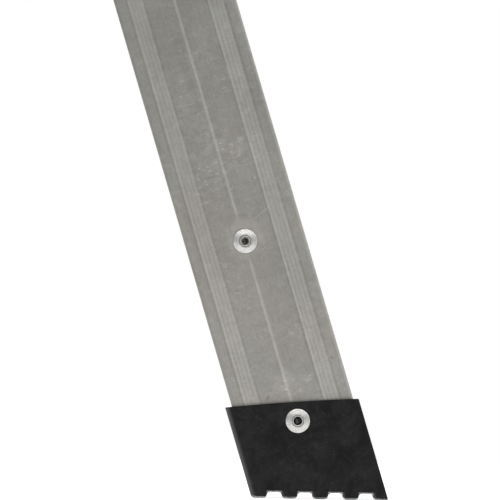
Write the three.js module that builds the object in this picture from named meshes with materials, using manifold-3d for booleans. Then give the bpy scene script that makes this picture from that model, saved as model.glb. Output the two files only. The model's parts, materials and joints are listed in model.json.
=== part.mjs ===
// A two-section push-up extension ladder, leaning at its working angle.
// Frame: +X runs along the rungs to the climber's right, +Y points to the wall, +Z is up.
// The origin lies on the floor, under the middle of the ladder's bounding box.
//
// Each section is drawn in stile coordinates: x along the rungs, y across the stile's
// depth towards the wall, z up along the stile from the floor. One group then leans both.

import * as THREE from 'three';
import { mergeVertices } from 'three/addons/utils/BufferGeometryUtils.js';
import Module from 'manifold-3d';

const wasm = await Module();
wasm.setup();

// Driving dimensions, in millimetres and radians.
const LEAN = THREE.MathUtils.degToRad(17.5); // from the vertical
const WIDTH = 400; // over the stiles' outer faces
const RUNG_PITCH = 280;
const FIRST_RUNG = 147.4; // from the floor, along the stile
const BASE_RUNGS = 7;
const FLY_RUNGS = 6;
const TOP_END = 1960; // of both sections when closed
const FLY_BOTTOM = 322;
const GAP = 0.3; // between pieces that touch
const OVERSHOOT = 1; // of a cutter past the faces that it opens

// Stiles: closed aluminium box sections.
const STILE_WIDTH = 25;
const BASE_DEPTH = 65;
const FLY_DEPTH = 58;
const WALL = 1.5;
const CORNER = 2;
const SECTION_SPACE = 2.5; // between the two sections
const FLY_Y = -(BASE_DEPTH / 2 + SECTION_SPACE + FLY_DEPTH / 2);
const STILE_FOOT = 20; // lower end of a base stile, inside its boot
const RIB_COUNT = 4; // in each of the two bands on an outer face
const RIB_PITCH = 2.2;
const RIB_HEIGHT = 0.3;
const BAND_INSET = 11.2; // from a stile's edge to the middle of its band of ribs

const OUTER = WIDTH / 2;
const INNER = OUTER - STILE_WIDTH;

// Rungs: D sections whose flat, grooved tread is level at the working angle.
const RUNG_HALF = 15;
const RUNG_TOP = 13;
const RUNG_FLANK = 2; // height where the straight flank meets the round underside
const TREAD_CHAMFER = 2;
const TREAD_GROOVES = 4;
const GROOVE_PITCH = 5.4;
const GROOVE_HALF = 1.1;
const GROOVE_DEPTH = 1;
const RUNG_WALL = 1.6;
const PORT_RADIUS = 5.6; // boss that takes the rivet
const PORT_BORE = 3.7;
const WEB_HALF = 1.2;
const HOLLOW_CHAMFER = 1;
const UNDERSIDE_FACETS = 8;
const HOLLOW_FACETS = 4;

// Blind rivets.
const SHANK = 3.1;
const SHANK_HOLE = 3.45;
const HEAD = 6.7;
const HEAD_EDGE = 0.7;
const HEAD_STEP = 3.4;
const HEAD_HEIGHT = 1.7;
const RUNG_SHANK = 14; // length behind the head
const BOOT_SHANK = 10;
const BOOT_BULGE = 4.2; // radius of the blind side behind the boot's sheet
const BULGE_START = 1; // from the blind end
const BULGE_END = 3;
const BULGE_NECK = 4;

// Rubber boots.
const BOOT_HALF_DEPTH = 35.8;
const BOOT_THICKNESS = 32;
const BOOT_FRONT_TOP = 46.9;
const BOOT_REAR_TOP = 62.8;
const BOOT_RIVET = 44.7; // height of its rivet
const TEETH = 5;
const TOOTH = 8;
const TREAD_DEPTH = 3.5;
const TOOTH_DRAFT = 0.6; // by which a groove is narrower at its ceiling, each side

// Plastic end caps.
const CAP_RISE = 8;
const CAP_BEVEL = 4;
const CAP_OVERHANG = 1; // past the stile's front face
const PAD_PROUD = 6; // of the base section's wall pads
const PAD_HANG = 14;
const FLY_PAD_PROUD = 1.2;
const PLUG = 18;
const PLUG_ROOT = 2; // of the plug that is sunk in the cap's head

// Guide brackets, which wrap each section round the other.
const PLATE = 3;
const PLATE_GAP = 0.6; // clears the ribs
const JOGGLE = 2.2; // further out, over the other section's rivet heads
const JOGGLE_HALF = 2; // half the length of the sloping stretch
const JOGGLE_LEAD = 1; // by which the plate's outer face starts to slope sooner
const GUIDE_HEIGHT = 60;
const GUIDE_LIP = 16;
const GUIDE_PLAY = 2;
const GUIDE_HOLD = 14; // how far it reaches past the middle of the stile that holds it
const BASE_GUIDE_Z = 1870;
const FLY_GUIDE_Z = 340;
const TRAVEL = 3 * RUNG_PITCH;
const STOP_WIDTH = 14;
const STOP_PROUD = 6;
const STOP_HEIGHT = 24;
const STOP_PLAY = 8; // from the guide to the stop when the stays stand on the last rung

// Spring-loaded rung stays, which prop the fly section on the base section's rungs.
const PIVOT_Y = -42;
const PIVOT_ABOVE_RUNG = 110;
const PIN = 4;
const PIN_HOLE = 4.4;
const PIN_HEAD = 7;
const PIN_HEAD_EDGE = 5.5;
const PIN_HEAD_THICKNESS = 1.2;
const PIN_START = 1; // from the stile's inner face to the pin
const STAY_THICKNESS = 6;
const STAY_SET = 4; // from the stile's inner face to the stay
const STAY_BOSS = 9;
const CHEEK_GAP = 16.6; // from the stile's inner face to the far cheek
const CHANNEL_HEIGHT = 50;
const CHANNEL_REAR = -34;
const CHANNEL_FRONT = -62;
const SEAT_GAP = 0.4;
const LIP_THICKNESS = 5;
const LIP_DEPTH = 7;
const LIP_PLAY = 0.5; // from the lip to the rung's front
const LIP_RISE = 6; // to where the lip meets the shank
const SEAT_REACH = 10; // of the seat behind the pin
const TOE_RISE = 8;
const TOE_SLANT = 1;
const BOSS_FACETS = 8; // in half a turn
const BOSS_START = -0.4; // facets before level
const BOSS_END = 5;
const HEEL_TOP = 18;
const HEEL_BOTTOM = 8;
const WAIST = 12; // below the pin, where the boss meets the shank
const COIL_RADIUS = 6.6;
const WIRE = 0.8;
const COIL_TURNS = 2.5;
const COIL_STEPS = 8; // to a turn
const SPRING_STEPS = 44;
const WEB_LEG = [7, 14]; // how far a leg's end lies off the coil's edge, and below the pin
const WEB_BEND = [2, 7];
const STAY_LEG = [-1, 17]; // where the other leg ends, from the pin
const STAY_BEND = [5.6, 9];

const ROUND = 12; // sides of small round pieces and holes
const PORT_SIDES = 8;
const WIRE_SIDES = 6;
const SIDES = { left: -1, right: 1 };

const aluminium = () => new THREE.MeshStandardMaterial({ color: 0x94938f, metalness: 0.9, roughness: 0.5 });
const rivetMetal = () => new THREE.MeshStandardMaterial({ color: 0xdedede, metalness: 1, roughness: 0.3 });
const rubber = () => new THREE.MeshStandardMaterial({ color: 0x2b2c2e, metalness: 0, roughness: 0.85 });
const plastic = () => new THREE.MeshStandardMaterial({ color: 0x1f2022, metalness: 0, roughness: 0.6 });
const zincSteel = () => new THREE.MeshStandardMaterial({ color: 0xa7a9a6, metalness: 0.9, roughness: 0.45 });
const springSteel = () => new THREE.MeshStandardMaterial({ color: 0x77797b, metalness: 1, roughness: 0.35 });

const point = (x, y) => new THREE.Vector2(x, y);

// A point of the level frame, as a rung's section is drawn in, seen in stile coordinates.
const level = (a, b) => point(a, b).rotateAround(point(0, 0), LEAN);

// Outlines may run either way round, as they do on the mirrored side; a shape's runs anticlockwise.
function shapeOf(outline, holes = []) {
  const clockwise = THREE.ShapeUtils.isClockWise(outline);
  const shape = new THREE.Shape(clockwise ? [...outline].reverse() : outline);
  for (const hole of holes) shape.holes.push(new THREE.Path(hole));
  return shape;
}

// A prism whose outline lies in x and y, standing on z.
function upright(outline, z, height, holes) {
  const prism = new THREE.ExtrudeGeometry(shapeOf(outline, holes), { depth: height, bevelEnabled: false });
  return prism.translate(0, 0, z);
}

// A prism whose outline lies in y and z, between two values of x.
function crosswise(outline, x0, x1, holes) {
  const low = Math.min(x0, x1);
  const depth = Math.abs(x1 - x0);
  const prism = new THREE.ExtrudeGeometry(shapeOf(outline, holes), { depth, bevelEnabled: false });
  const turn = new THREE.Matrix4().makeBasis(
    new THREE.Vector3(0, 1, 0),
    new THREE.Vector3(0, 0, 1),
    new THREE.Vector3(1, 0, 0),
  );
  return prism.applyMatrix4(turn).translate(low, 0, 0);
}

function ring(radius, sides, y = 0, z = 0) {
  const corners = [];
  for (let i = 0; i < sides; i++) {
    const turn = (2 * Math.PI * i) / sides;
    corners.push(point(y + radius * Math.cos(turn), z + radius * Math.sin(turn)));
  }
  return corners;
}

function rectangle(x0, x1, y0, y1) {
  return [point(x0, y0), point(x1, y0), point(x1, y1), point(x0, y1)];
}

// A lathe-turned piece whose axis runs one way along x; profile points are (radius, distance).
function turned(profile, way) {
  return new THREE.LatheGeometry(profile, ROUND).rotateZ((-way * Math.PI) / 2);
}

function manifoldOf(geometry) {
  const bare = geometry.clone();
  bare.deleteAttribute('normal');
  bare.deleteAttribute('uv');
  const merged = mergeVertices(bare, 1e-4);
  const mesh = new wasm.Mesh({
    numProp: 3,
    vertProperties: Float32Array.from(merged.attributes.position.array),
    triVerts: Uint32Array.from(merged.index.array),
  });
  return new wasm.Manifold(mesh);
}

function geometryOf(manifold) {
  const mesh = manifold.getMesh();
  const geometry = new THREE.BufferGeometry();
  geometry.setAttribute('position', new THREE.BufferAttribute(mesh.vertProperties, 3));
  geometry.setIndex(new THREE.BufferAttribute(mesh.triVerts, 1));
  return geometry;
}

function cut(geometry, tools) {
  return geometryOf(tools.reduce((left, tool) => left.subtract(manifoldOf(tool)), manifoldOf(geometry)));
}

function join(geometry, others) {
  return geometryOf(others.reduce((whole, other) => whole.add(manifoldOf(other)), manifoldOf(geometry)));
}

function named(name, geometry, material) {
  const mesh = new THREE.Mesh(geometry, material);
  mesh.name = name;
  return mesh;
}

// Outline of a stile's section, with x measured outwards from its inner face.
function stileOutline(depth) {
  const half = depth / 2;
  const outline = [];
  const band = half - BAND_INSET;
  for (const centre of [-band, band]) {
    for (let i = 0; i < RIB_COUNT; i++) {
      const rib = centre + (i - (RIB_COUNT - 1) / 2) * RIB_PITCH;
      outline.push(point(STILE_WIDTH, rib - RIB_PITCH / 2));
      outline.push(point(STILE_WIDTH + RIB_HEIGHT, rib));
    }
    outline.push(point(STILE_WIDTH, centre + (RIB_COUNT / 2) * RIB_PITCH));
  }
  const bend = CORNER * (1 - Math.SQRT1_2);
  for (const [x, y] of [[STILE_WIDTH, half], [0, half], [0, -half], [STILE_WIDTH, -half]]) {
    const inX = x > 0 ? -1 : 1;
    const inY = y > 0 ? -1 : 1;
    const bow = [
      point(x, y + inY * CORNER),
      point(x + inX * bend, y + inY * bend),
      point(x + inX * CORNER, y),
    ];
    if (inX * inY < 0) bow.reverse();
    outline.push(...bow);
  }
  return outline;
}

// Outline of a rung's section in the level frame, grown all round by grow.
function rungOutline(grow = 0) {
  const half = RUNG_HALF + grow;
  const top = RUNG_TOP + grow;
  const outline = [point(half, RUNG_TOP - TREAD_CHAMFER), point(half - TREAD_CHAMFER, top)];
  if (grow === 0) {
    for (let i = 0; i < TREAD_GROOVES; i++) {
      const centre = ((TREAD_GROOVES - 1) / 2 - i) * GROOVE_PITCH;
      outline.push(point(centre + GROOVE_HALF, top));
      outline.push(point(centre, top - GROOVE_DEPTH));
      outline.push(point(centre - GROOVE_HALF, top));
    }
  }
  outline.push(point(TREAD_CHAMFER - half, top), point(-half, RUNG_TOP - TREAD_CHAMFER));
  for (let i = 0; i <= UNDERSIDE_FACETS; i++) {
    const turn = Math.PI + (Math.PI * i) / UNDERSIDE_FACETS;
    outline.push(point(half * Math.cos(turn), RUNG_FLANK + half * Math.sin(turn)));
  }
  return outline;
}

// One of the two hollows beside a rung's rivet port.
function rungHollow(side) {
  const half = RUNG_HALF - RUNG_WALL;
  const top = RUNG_TOP - GROOVE_DEPTH - RUNG_WALL;
  const hollow = [point(WEB_HALF, top), point(half - HOLLOW_CHAMFER, top), point(half, top - HOLLOW_CHAMFER)];
  const low = Math.acos(WEB_HALF / half);
  for (let i = 0; i <= HOLLOW_FACETS; i++) {
    const turn = (-low * i) / HOLLOW_FACETS;
    hollow.push(point(half * Math.cos(turn), RUNG_FLANK + half * Math.sin(turn)));
  }
  const high = Math.acos(WEB_HALF / PORT_RADIUS);
  for (let i = 0; i <= HOLLOW_FACETS; i++) {
    const turn = high * ((2 * i) / HOLLOW_FACETS - 1);
    hollow.push(point(PORT_RADIUS * Math.cos(turn), PORT_RADIUS * Math.sin(turn)));
  }
  return hollow.map((p) => point(side * p.x, p.y));
}

const inStile = (outline, y, z) => outline.map((p) => level(p.x, p.y).add(point(y, z)));

function rung(name, y, z) {
  const reach = OUTER - WALL - GAP;
  const holes = [rungHollow(-1), rungHollow(1), ring(PORT_BORE, PORT_SIDES)];
  const body = crosswise(inStile(rungOutline(), y, z), -reach, reach, holes.map((h) => inStile(h, y, z)));
  return named(name, body, aluminium());
}

function stile(name, side, y, depth, bottom, rungs, drilled) {
  const place = (p) => point(side * (INNER + p.x), y + p.y);
  const outline = stileOutline(depth).map(place);
  const bore = rectangle(WALL, STILE_WIDTH - WALL, WALL - depth / 2, depth / 2 - WALL).map(place);
  const tube = upright(outline, bottom, TOP_END - bottom, [bore]);
  const middle = side * (INNER + STILE_WIDTH / 2);
  const tools = [];
  for (const z of rungs) {
    tools.push(crosswise(inStile(rungOutline(GAP), y, z), side * (INNER - OVERSHOOT), middle));
    if (drilled) tools.push(crosswise(ring(SHANK_HOLE, ROUND, y, z), middle, side * (OUTER + OVERSHOOT)));
  }
  if (drilled) {
    const hole = ring(SHANK_HOLE, ROUND, y, BOOT_RIVET);
    tools.push(crosswise(hole, side * (INNER - OVERSHOOT), side * (OUTER + OVERSHOOT)));
  }
  return named(name, cut(tube, tools), aluminium());
}

// A blind rivet whose head bears on the plane x = seat and faces the given way along x.
// With a bulge it grips behind a sheet; without one it is gripped by a rung's port.
function rivet(name, way, seat, y, z, length, bulge = 0) {
  const profile = [point(0, -length)];
  if (bulge) {
    profile.push(point(bulge, BULGE_START - length), point(bulge, BULGE_END - length));
    profile.push(point(SHANK, BULGE_NECK - length));
  } else {
    profile.push(point(SHANK, -length));
  }
  profile.push(point(SHANK, 0), point(HEAD, 0), point(HEAD, HEAD_EDGE));
  profile.push(point(HEAD_STEP, HEAD_HEIGHT), point(0, HEAD_HEIGHT));
  const mesh = named(name, turned(profile, way), rivetMetal());
  mesh.position.set(seat, y, z);
  return mesh;
}

function boot(name, side) {
  const tread = [];
  const length = (2 * BOOT_HALF_DEPTH) / Math.cos(LEAN);
  const pitch = (length - TOOTH) / (TEETH - 1);
  for (let i = 0; i < TEETH; i++) {
    const start = i * pitch - length / 2;
    if (i > 0) tread.push(level(start - TOOTH_DRAFT, TREAD_DEPTH));
    tread.push(level(start, 0), level(start + TOOTH, 0));
    if (i < TEETH - 1) tread.push(level(start + TOOTH + TOOTH_DRAFT, TREAD_DEPTH));
  }
  const outline = [
    ...tread,
    point(BOOT_HALF_DEPTH, BOOT_REAR_TOP),
    point(-BOOT_HALF_DEPTH, BOOT_FRONT_TOP),
  ];
  const middle = side * (INNER + STILE_WIDTH / 2);
  const half = BOOT_THICKNESS / 2;
  const body = crosswise(outline, middle - half, middle + half);
  const slack = GAP + RIB_HEIGHT;
  const pocket = upright(
    rectangle(
      middle - STILE_WIDTH / 2 - slack,
      middle + STILE_WIDTH / 2 + slack,
      -BASE_DEPTH / 2 - GAP,
      BASE_DEPTH / 2 + GAP,
    ),
    STILE_FOOT - GAP,
    BASE_DEPTH,
  );
  const bore = ring(SHANK_HOLE, ROUND, 0, BOOT_RIVET);
  const hole = crosswise(bore, middle - BOOT_THICKNESS, middle + BOOT_THICKNESS);
  return named(name, cut(body, [pocket, hole]), rubber());
}

// A plug cap on the end of a stile. The head's outline lies in y and z, measured from the
// stile's end at its middle; the plug fills the bore between two heights measured from there.
function cap(name, side, y, depth, end, head, plugFrom, plugTo) {
  const middle = side * (INNER + STILE_WIDTH / 2);
  const half = STILE_WIDTH / 2 + 2 * GAP;
  const plugHalf = STILE_WIDTH / 2 - WALL - GAP;
  const plugDepth = depth / 2 - WALL - GAP;
  const outline = head.map((p) => point(p.x + y, p.y + end));
  const bore = rectangle(middle - plugHalf, middle + plugHalf, y - plugDepth, y + plugDepth);
  const plug = upright(bore, end + plugFrom, plugTo - plugFrom);
  return named(name, join(crosswise(outline, middle - half, middle + half), [plug]), plastic());
}

// A top cap's rear is a pad whose face is upright at the working angle and meets the wall.
// It stands proud of the stile's rear face, and may hang down behind it.
function topCapHead(depth, proud, hang) {
  const half = depth / 2;
  const pad = half + proud;
  const head = [point(-half - CAP_OVERHANG, GAP)];
  if (hang > 0) head.push(point(half + 2 * GAP, GAP), point(half + 2 * GAP, -hang), point(pad, -hang));
  else head.push(point(pad, GAP));
  head.push(point(pad - Math.tan(LEAN) * (CAP_RISE + Math.max(hang, -GAP)), CAP_RISE));
  head.push(point(CAP_BEVEL - half, CAP_RISE), point(-half - CAP_OVERHANG, CAP_RISE - CAP_BEVEL));
  return head;
}

function bottomCapHead(depth) {
  const half = depth / 2 + 2 * GAP;
  return [
    point(-half, -GAP),
    point(CAP_BEVEL - half, -CAP_BEVEL),
    point(half - CAP_BEVEL, -CAP_BEVEL),
    point(half, -GAP),
  ];
}

// A joggled strap: riveted to one stile's outer face and wrapped over the other's far face.
function guide(name, side, z, from, to) {
  const way = Math.sign(to - from);
  const step = -(BASE_DEPTH + SECTION_SPACE) / 2;
  const near = OUTER + PLATE_GAP;
  const far = near + JOGGLE;
  const end = to + way * PLATE;
  const outline = [
    [near, from],
    [near, step - way * JOGGLE_HALF],
    [far, step + way * JOGGLE_HALF],
    [far, to],
    [OUTER - GUIDE_LIP, to],
    [OUTER - GUIDE_LIP, end],
    [far + PLATE, end],
    [far + PLATE, step + way * (JOGGLE_HALF - JOGGLE_LEAD)],
    [near + PLATE, step - way * (JOGGLE_HALF + JOGGLE_LEAD)],
    [near + PLATE, from],
  ];
  return named(name, upright(outline.map(([x, y]) => point(side * x, y)), z, GUIDE_HEIGHT), zincSteel());
}

// A block on the base stile's rear face that the fly section's guide meets at full travel.
function travelStop(name, side) {
  const rear = BASE_DEPTH / 2 + GAP;
  const outline = rectangle(side * (OUTER - STOP_WIDTH), side * (OUTER - CORNER), rear, rear + STOP_PROUD);
  const z = FLY_GUIDE_Z + GUIDE_HEIGHT + TRAVEL + STOP_PLAY;
  return named(name, upright(outline, z, STOP_HEIGHT), aluminium());
}

const pivotZ = (rungZ) => rungZ + PIVOT_ABOVE_RUNG;

// The channel that carries a stay's pin, riveted to the fly stile's inner face.
function stayChannel(name, side, z) {
  const x = (inboard) => side * (INNER - inboard);
  const outline = [
    point(x(GAP), CHANNEL_REAR),
    point(x(GAP), CHANNEL_FRONT),
    point(x(CHEEK_GAP + PLATE), CHANNEL_FRONT),
    point(x(CHEEK_GAP + PLATE), CHANNEL_REAR),
    point(x(CHEEK_GAP), CHANNEL_REAR),
    point(x(CHEEK_GAP), CHANNEL_FRONT + PLATE),
    point(x(GAP + PLATE), CHANNEL_FRONT + PLATE),
    point(x(GAP + PLATE), CHANNEL_REAR),
  ];
  const body = upright(outline, z - CHANNEL_HEIGHT / 2, CHANNEL_HEIGHT);
  const bore = crosswise(ring(PIN_HOLE, ROUND, PIVOT_Y, z), x(0), x(CHEEK_GAP + 2 * PLATE));
  return named(name, cut(body, [bore]), zincSteel());
}

// The stay hangs from its pin and stands on the rung's tread, with a lip before the rung.
function stay(name, side, rungZ) {
  const pivot = point(PIVOT_Y, pivotZ(rungZ));
  const above = point(PIVOT_Y, PIVOT_ABOVE_RUNG).rotateAround(point(0, 0), -LEAN);
  const radius = above.y - RUNG_TOP - SEAT_GAP;
  const lipRear = -RUNG_HALF - LIP_PLAY - above.x;
  const seat = (a) => level(a, -Math.sqrt(radius * radius - a * a));
  const heel = CHANNEL_FRONT + PLATE + GAP - PIVOT_Y;
  const outline = [
    level(lipRear - LIP_THICKNESS, -radius - LIP_DEPTH),
    level(lipRear, -radius - LIP_DEPTH),
    seat(lipRear),
    seat(0),
    seat(SEAT_REACH),
    level(SEAT_REACH + TOE_SLANT, TOE_RISE - radius),
  ];
  for (let i = 0; i <= BOSS_END; i++) {
    const turn = LEAN + (Math.PI * (i + BOSS_START)) / BOSS_FACETS;
    outline.push(point(STAY_BOSS * Math.cos(turn), STAY_BOSS * Math.sin(turn)));
  }
  outline.push(point(heel, HEEL_TOP), point(heel, HEEL_BOTTOM), level(-STAY_BOSS, -WAIST));
  outline.push(level(lipRear - LIP_THICKNESS, LIP_RISE - radius));
  const hole = ring(PIN_HOLE, ROUND);
  const at = (p) => p.clone().add(pivot);
  const x = (inboard) => side * (INNER - inboard);
  const body = crosswise(outline.map(at), x(STAY_SET), x(STAY_SET + STAY_THICKNESS), [hole.map(at)]);
  return named(name, body, zincSteel());
}

function stayPin(name, side, rungZ) {
  const seat = CHEEK_GAP + PLATE + GAP - PIN_START;
  const top = seat + PIN_HEAD_THICKNESS * 2;
  const profile = [
    point(0, 0),
    point(PIN, 0),
    point(PIN, seat),
    point(PIN_HEAD, seat),
    point(PIN_HEAD, seat + PIN_HEAD_THICKNESS),
    point(PIN_HEAD_EDGE, top),
    point(0, top),
  ];
  const mesh = named(name, turned(profile, -side), zincSteel());
  mesh.position.set(side * (INNER - PIN_START), PIVOT_Y, pivotZ(rungZ));
  return mesh;
}

// A torsion spring round the pin, one leg on the channel's web and one along the stay.
function staySpring(name, side, rungZ) {
  const start = STAY_SET + STAY_THICKNESS + WIRE + GAP;
  const rise = (CHEEK_GAP - WIRE - GAP - start) / COIL_TURNS;
  const route = [];
  const steps = Math.round(COIL_TURNS * COIL_STEPS);
  const place = (inboard, y, z) => new THREE.Vector3(-side * inboard, y, z);
  for (const [off, below] of [WEB_LEG, WEB_BEND]) route.push(place(start, -COIL_RADIUS - off, -below));
  for (let i = 0; i <= steps; i++) {
    const turn = Math.PI + (2 * Math.PI * COIL_TURNS * i) / steps;
    const inboard = start + (rise * COIL_TURNS * i) / steps;
    route.push(place(inboard, COIL_RADIUS * Math.cos(turn), COIL_RADIUS * Math.sin(turn)));
  }
  const last = start + rise * COIL_TURNS;
  for (const [y, z] of [STAY_BEND, STAY_LEG]) route.push(place(last, y, z));
  const path = new THREE.CatmullRomCurve3(route);
  const section = new THREE.Shape(ring(WIRE, WIRE_SIDES));
  const options = { steps: SPRING_STEPS, extrudePath: path, bevelEnabled: false };
  const geometry = new THREE.ExtrudeGeometry(section, options);
  const mesh = named(name, geometry, springSteel());
  mesh.position.set(side * INNER, PIVOT_Y, pivotZ(rungZ));
  return mesh;
}

const rungHeight = (index) => FIRST_RUNG + index * RUNG_PITCH;

function baseSection() {
  const section = new THREE.Group();
  const heights = Array.from({ length: BASE_RUNGS }, (_, i) => rungHeight(i));
  const baseHead = topCapHead(BASE_DEPTH, PAD_PROUD, PAD_HANG);
  const flyFront = FLY_Y - FLY_DEPTH / 2 - GUIDE_PLAY;
  heights.forEach((z, i) => section.add(rung(`base_rung_${i + 1}`, 0, z)));
  for (const [word, side] of Object.entries(SIDES)) {
    section.add(stile(`base_stile_${word}`, side, 0, BASE_DEPTH, STILE_FOOT, heights, true));
    section.add(boot(`foot_boot_${word}`, side));
    section.add(cap(`base_top_cap_${word}`, side, 0, BASE_DEPTH, TOP_END, baseHead, -PLUG, PLUG_ROOT));
    section.add(guide(`base_guide_${word}`, side, BASE_GUIDE_Z, GUIDE_HOLD, flyFront));
    section.add(travelStop(`travel_stop_${word}`, side));
    heights.forEach((z, i) => {
      section.add(rivet(`rung_rivet_${word}_${i + 1}`, side, side * (OUTER + GAP), 0, z, RUNG_SHANK));
    });
    const bootFace = BOOT_THICKNESS / 2 + GAP;
    const middle = side * (INNER + STILE_WIDTH / 2);
    for (const [place, way] of [['outer', side], ['inner', -side]]) {
      const seat = middle + way * bootFace;
      section.add(rivet(`foot_rivet_${place}_${word}`, way, seat, 0, BOOT_RIVET, BOOT_SHANK, BOOT_BULGE));
    }
  }
  return section;
}

function flySection() {
  const section = new THREE.Group();
  const first = rungHeight(BASE_RUNGS - FLY_RUNGS);
  const flyHead = topCapHead(FLY_DEPTH, FLY_PAD_PROUD, -GAP);
  const flyFoot = bottomCapHead(FLY_DEPTH);
  const baseRear = BASE_DEPTH / 2 + GUIDE_PLAY;
  const heights = Array.from({ length: FLY_RUNGS }, (_, i) => first + i * RUNG_PITCH);
  heights.forEach((z, i) => section.add(rung(`fly_rung_${i + 1}`, FLY_Y, z)));
  for (const [word, side] of Object.entries(SIDES)) {
    section.add(stile(`fly_stile_${word}`, side, FLY_Y, FLY_DEPTH, FLY_BOTTOM, heights, false));
    section.add(cap(`fly_top_cap_${word}`, side, FLY_Y, FLY_DEPTH, TOP_END, flyHead, -PLUG, PLUG_ROOT));
    section.add(cap(`fly_bottom_cap_${word}`, side, FLY_Y, FLY_DEPTH, FLY_BOTTOM, flyFoot, -PLUG_ROOT, PLUG));
    section.add(guide(`fly_guide_${word}`, side, FLY_GUIDE_Z, FLY_Y - GUIDE_HOLD, baseRear));
    section.add(stayChannel(`stay_channel_${word}`, side, pivotZ(first)));
    section.add(stay(`rung_stay_${word}`, side, first));
    section.add(stayPin(`stay_pin_${word}`, side, first));
    section.add(staySpring(`stay_spring_${word}`, side, first));
  }
  return section;
}

const leaning = new THREE.Group();
leaning.rotation.x = -LEAN;
leaning.add(baseSection(), flySection());

const ladder = new THREE.Group();
ladder.add(leaning);
ladder.updateMatrixWorld(true);
const box = new THREE.Box3().setFromObject(ladder, true);
leaning.position.y = -(box.min.y + box.max.y) / 2;

export default ladder;
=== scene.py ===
"""The looks of a two-section push-up extension ladder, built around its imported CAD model.

Sizes are in millimetres and, unless a comment says otherwise, in stile coordinates: x along the
rungs, y across the stile's depth towards the wall, z up along the stile from the floor. The
function placed() leans them into the frame, which is in metres.
"""

import json
import math

import bmesh
import bpy
import numpy as np
from mathutils import Matrix, Vector


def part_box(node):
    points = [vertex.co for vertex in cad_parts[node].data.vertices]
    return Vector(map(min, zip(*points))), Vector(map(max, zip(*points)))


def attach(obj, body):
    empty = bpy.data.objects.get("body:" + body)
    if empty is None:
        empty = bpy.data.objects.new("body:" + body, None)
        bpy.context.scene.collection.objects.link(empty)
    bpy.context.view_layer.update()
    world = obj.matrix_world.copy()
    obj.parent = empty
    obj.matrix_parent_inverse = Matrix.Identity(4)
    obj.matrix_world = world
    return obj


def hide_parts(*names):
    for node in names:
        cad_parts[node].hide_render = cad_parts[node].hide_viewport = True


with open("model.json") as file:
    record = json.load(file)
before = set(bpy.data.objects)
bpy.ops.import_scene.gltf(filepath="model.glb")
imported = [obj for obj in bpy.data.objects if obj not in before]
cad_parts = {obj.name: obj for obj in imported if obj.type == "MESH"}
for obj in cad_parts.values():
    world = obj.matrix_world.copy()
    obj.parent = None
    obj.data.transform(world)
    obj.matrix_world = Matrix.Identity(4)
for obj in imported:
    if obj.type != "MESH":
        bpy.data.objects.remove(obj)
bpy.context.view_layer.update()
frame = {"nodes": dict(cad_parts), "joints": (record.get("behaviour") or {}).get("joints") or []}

MM = 0.001
SIDES = {"left": -1, "right": 1}


# The frame: how the sections lean, and where each node lies in stile coordinates.

def joint_axis(name):
    for joint in frame["joints"]:
        if joint["name"] == name:
            return Vector(joint["axis"]).normalized()
    raise KeyError(name)


def node_centre(name):
    low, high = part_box(name)
    return (low + high) / 2


UP = joint_axis("fly_slide")
LEAN = math.atan2(UP.y, UP.z)
ACROSS = Vector((0, math.cos(LEAN), -math.sin(LEAN)))
FIRST_RIVET = node_centre("rung_rivet_left_1")
FOOT = Vector((0, FIRST_RIVET.y - math.tan(LEAN) * FIRST_RIVET.z, 0))
TO_FRAME = np.array([[1, 0, 0], list(ACROSS), list(UP)])


def placed(points):
    """Stile coordinates in millimetres, leant into the frame, in metres."""
    return np.asarray(points, float) * MM @ TO_FRAME + np.array(FOOT)


def extent(node):
    """A node's lowest and highest corner in stile coordinates, in millimetres."""
    mesh = frame["nodes"][node].data
    points = np.empty(len(mesh.vertices) * 3)
    mesh.vertices.foreach_get("co", points)
    local = (points.reshape(-1, 3) - np.array(FOOT)) @ TO_FRAME.T / MM
    return local.min(axis=0), local.max(axis=0)


def middle(node):
    low, high = extent(node)
    return (low + high) / 2


def rungs_of(word):
    """The names of a section's rungs, from the lowest up."""
    names = []
    while f"{word}_rung_{len(names) + 1}" in frame["nodes"]:
        names.append(f"{word}_rung_{len(names) + 1}")
    return names


base_low, base_high = extent("base_stile_left")
fly_low, fly_high = extent("fly_stile_left")
RIB = 0.3  # how far the ribs of the CAD stiles stand out
OUTER = -base_low[0] - RIB
INNER = -base_high[0]
BASE_HALF = (base_high[1] - base_low[1]) / 2
FLY_HALF = (fly_high[1] - fly_low[1]) / 2
FLY_Y = (fly_low[1] + fly_high[1]) / 2
STILES = {
    "base_stile": ("base_section", 0.0, BASE_HALF, base_low[2], base_high[2]),
    "fly_stile": ("fly_section", FLY_Y, FLY_HALF, fly_low[2], fly_high[2]),
}
RUNGS = {"base_section": rungs_of("base"), "fly_section": rungs_of("fly")}
FIRST_RUNG = middle("base_rung_1")[2]
RUNG_PITCH = middle("base_rung_2")[2] - FIRST_RUNG

BAND_INSET = 11.2  # from a stile's edge to the middle of its band of ribs
BAND_HALF = 4.4
RIB_PITCH = 2.2
RIDGE_OFF = 0.35  # of the fine ridge from the middle of the face, towards the wall


# Mesh making.

PIECE_SHARP = 35  # degrees between two faces from which their edge is sharp
MOULDING_SHARP = 40
WELD = 0.01 * MM  # points of a CAD node that are closer than this are made one


def smooth(mesh, sharp):
    mesh.shade_smooth()
    mesh.set_sharp_from_angle(angle=math.radians(sharp))


def outwards(mesh):
    shape = bmesh.new()
    shape.from_mesh(mesh)
    bmesh.ops.recalc_face_normals(shape, faces=shape.faces)
    shape.to_mesh(mesh)
    shape.free()


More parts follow.
